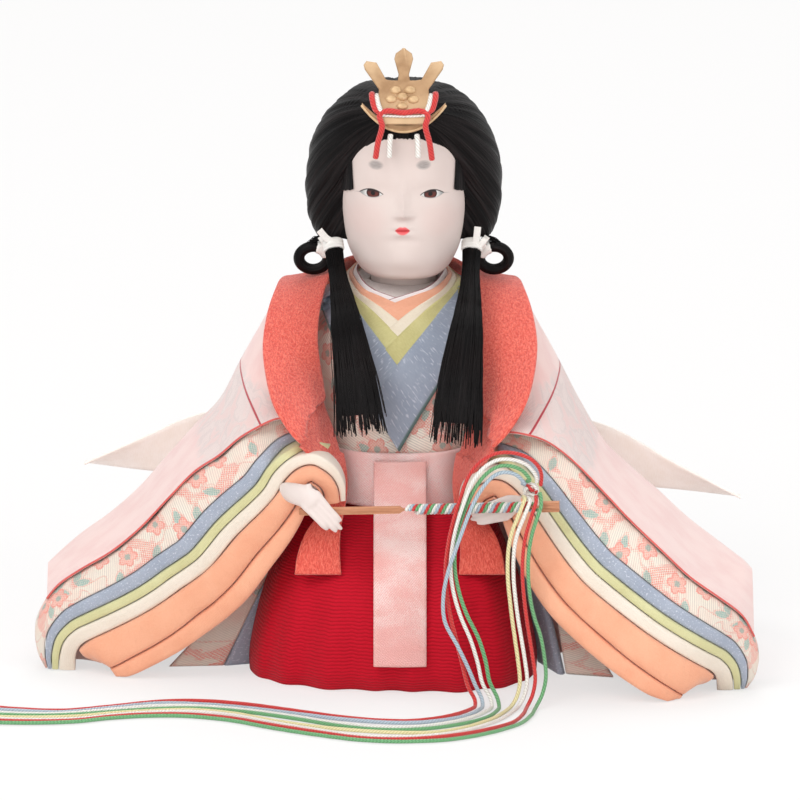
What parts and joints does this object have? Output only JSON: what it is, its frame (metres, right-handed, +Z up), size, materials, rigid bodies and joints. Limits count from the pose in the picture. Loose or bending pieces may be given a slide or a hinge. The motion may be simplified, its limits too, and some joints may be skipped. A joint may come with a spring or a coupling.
{
  "type": "hina doll",
  "caption": "Seated court lady doll in layered padded robes, with a removable head on a peg, a gilt crown and a cord-wound closed fan held in front.",
  "frame": {"origin": "on the floor under the doll's neck, on the underside of the base board", "axes": "+Z up, the doll faces -Y, +X to the right of someone who looks at its front"},
  "size_m": [0.2644, 0.2164, 0.1981],
  "materials": {
    "hakama_red": "fine ribbed crepe, matte",
    "coral_crepe": "coarse coral crepe, matte",
    "peach_silk": "plain padded silk",
    "cream_silk": "plain padded silk",
    "green_silk": "plain padded silk",
    "grey_silk": "plain padded silk with a faint sheen",
    "brocade": "woven floral brocade",
    "pink_silk": "pale pink woven silk",
    "sash_weave": "pink patterned weave",
    "white_silk": "plain white silk",
    "ivory_paper": "stiffened ivory cloth and paper",
    "hair_silk": "dressed black silk thread",
    "gofun_white": "smooth off-white shell-lime paint",
    "gilt_brass": "gilt, brushed",
    "wood": "bare light wood",
    "straw": "bound straw",
    "cord_red": "twisted silk cord",
    "cord_green": "twisted silk cord",
    "cord_white": "twisted silk cord",
    "cord_blue": "twisted silk cord",
    "cord_yellow": "twisted silk cord"
  },
  "bodies": {
    "doll": {"base_board": "wood", "body_core": "straw", "collar_cream": "cream_silk", "collar_green": "green_silk", "collar_grey": "grey_silk", "collar_peach": "peach_silk", "collar_white": "white_silk", "hakama": "hakama_red", "hand_left": "gofun_white", "hand_right": "gofun_white", "jacket": "coral_crepe", "obi_belt": "sash_weave", "obi_tail": "sash_weave", "robe_skirt": "pink_silk", "robe_torso": "brocade", "skirt_brocade_left": "brocade", "skirt_brocade_right": "brocade", "skirt_grey_left": "grey_silk", "skirt_grey_right": "grey_silk", "sleeve_brocade_left": "brocade", "sleeve_brocade_right": "brocade", "sleeve_cream_left": "cream_silk", "sleeve_cream_right": "cream_silk", "sleeve_green_left": "green_silk", "sleeve_green_right": "green_silk", "sleeve_grey_left": "grey_silk", "sleeve_grey_right": "grey_silk", "sleeve_outer_left": "pink_silk", "sleeve_outer_right": "pink_silk", "sleeve_peach_left": "peach_silk", "sleeve_peach_right": "peach_silk", "train": "white_silk", "train_ribbon_left": "ivory_paper", "train_ribbon_right": "ivory_paper"},
    "peg": {"neck_peg": "wood"},
    "head": {"hair_cap": "hair_silk", "hair_lock_left": "hair_silk", "hair_lock_right": "hair_silk", "hair_loop_left": "hair_silk", "hair_loop_right": "hair_silk", "hair_tail": "hair_silk", "head": "gofun_white", "lock_tie_left": "ivory_paper", "lock_tie_right": "ivory_paper", "tail_tie": "ivory_paper"},
    "crown": {"crown_blossom": "gilt_brass", "crown_comb": "gilt_brass", "crown_cord": "cord_red", "crown_plate": "gilt_brass"},
    "fan": {"fan_knot": "cord_white", "fan_slats": "wood", "fan_winding": "cord_red", "cord_blue_a": "cord_blue", "cord_green_a": "cord_green", "cord_green_b": "cord_green", "cord_red_a": "cord_red", "cord_red_b": "cord_red", "cord_white_a": "cord_white", "cord_white_b": "cord_white", "cord_yellow_b": "cord_yellow"}
  },
  "joints": [
    {"name": "head_turn", "type": "hinge", "parent": "doll", "child": "peg", "pos_m": [0.0012, 0, 0.1], "axis": [0, 0, 1], "range_deg": [-4, 2]},
    {"name": "head_lift", "type": "slide", "parent": "peg", "child": "head", "axis": [0, 0, 1], "range_m": [0, 0.03]},
    {"name": "crown_lift", "type": "slide", "parent": "head", "child": "crown", "axis": [0, 0, 1], "range_m": [0, 0.015]},
    {"name": "fan_slide", "type": "slide", "parent": "doll", "child": "fan", "axis": [0.9945, -0.0959, 0.0431], "range_m": [0, 0.015]}
  ]
}
